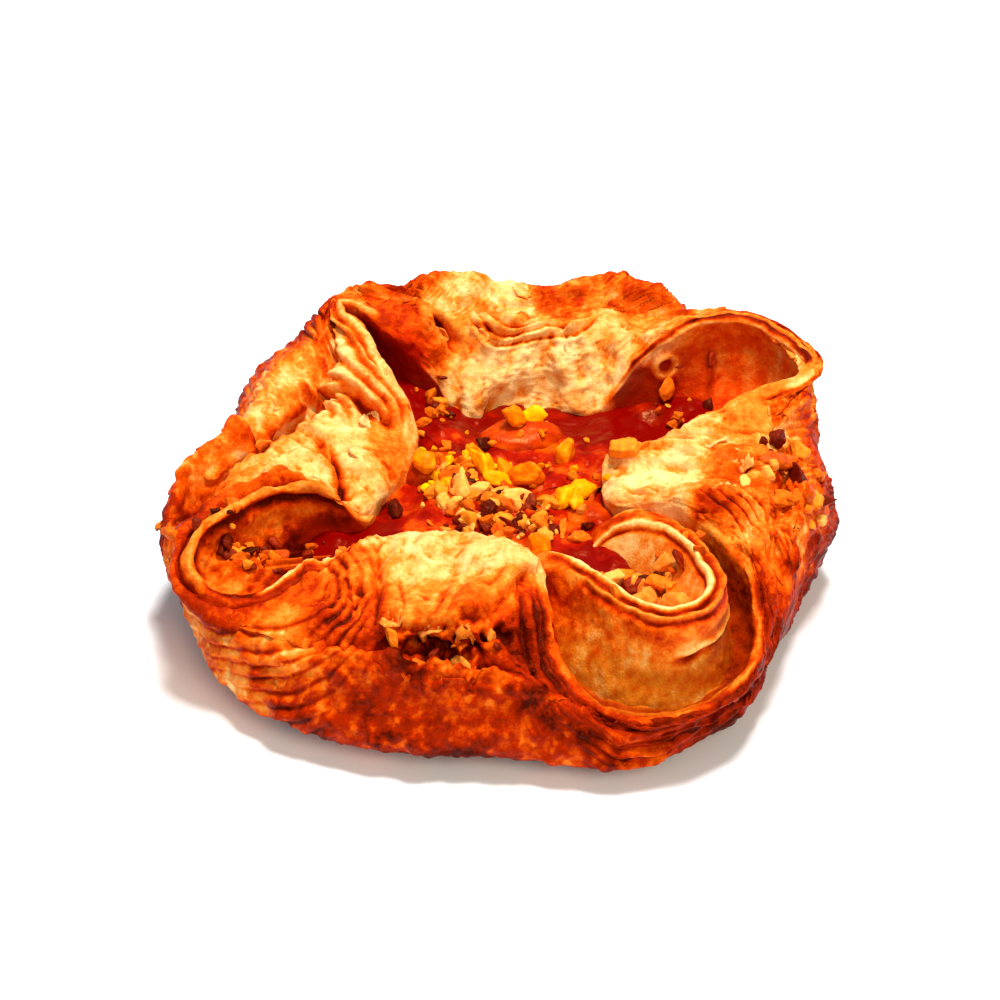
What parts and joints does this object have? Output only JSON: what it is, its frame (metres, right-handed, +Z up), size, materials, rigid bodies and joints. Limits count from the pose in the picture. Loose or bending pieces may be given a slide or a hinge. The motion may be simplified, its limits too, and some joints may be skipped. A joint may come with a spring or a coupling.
{
  "type": "crown pastry",
  "caption": "Round laminated crown pastry: corners folded in round an apricot filling with chopped nuts and soft fruit pieces.",
  "frame": {"origin": "on the surface that the pastry rests on, under the middle of its outline", "axes": "+Z up, +X to the right of the camera, -Y towards the camera, +X the widest way across"},
  "size_m": [0.1086, 0.1034, 0.0321],
  "materials": {
    "crust": "golden-brown baked laminated dough, darker on the outer folds, pale cream on the inner lobes",
    "filling": "glossy red-orange apricot filling",
    "apricot": "glossy soft orange apricot flesh",
    "nuts": "chopped toasted nuts, yellow to brown"
  },
  "bodies": {
    "root": {"pastry": "crust", "apricot_filling": "filling", "apricot_piece_1": "apricot", "apricot_piece_2": "apricot", "apricot_piece_3": "apricot", "apricot_piece_4": "apricot"}
  },
  "joints": []
}
